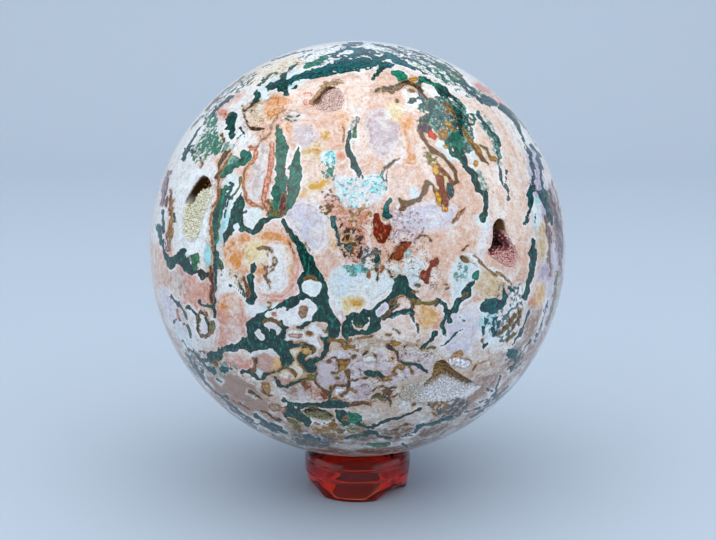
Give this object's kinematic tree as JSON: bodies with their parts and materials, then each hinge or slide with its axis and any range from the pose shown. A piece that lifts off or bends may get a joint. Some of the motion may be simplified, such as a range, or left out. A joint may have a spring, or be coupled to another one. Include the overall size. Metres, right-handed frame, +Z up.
{
  "type": "moss agate sphere on a ring stand",
  "caption": "Polished moss agate ball with open crystal-lined pockets, resting on a small footed ring of red glass.",
  "frame": {"origin": "middle of the ring stand's base, on the surface it stands on, under the centre of the ball", "axes": "+Z up through the ring and the ball's centre; the face of the ball with the open pockets looks along -Y, and +X is to its right"},
  "size_m": [0.15, 0.15, 0.166],
  "materials": {
    "agate": "polished",
    "druse": "crystalline",
    "stand_glass": "polished"
  },
  "bodies": {
    "root": {"agate_ball": "agate", "left_pocket_druse": "druse", "right_pocket_druse": "druse", "lower_pocket_druse": "druse", "upper_pocket_druse": "druse", "slot_druse": "druse", "back_pocket_druse": "druse", "ring_stand": "stand_glass"}
  },
  "joints": []
}
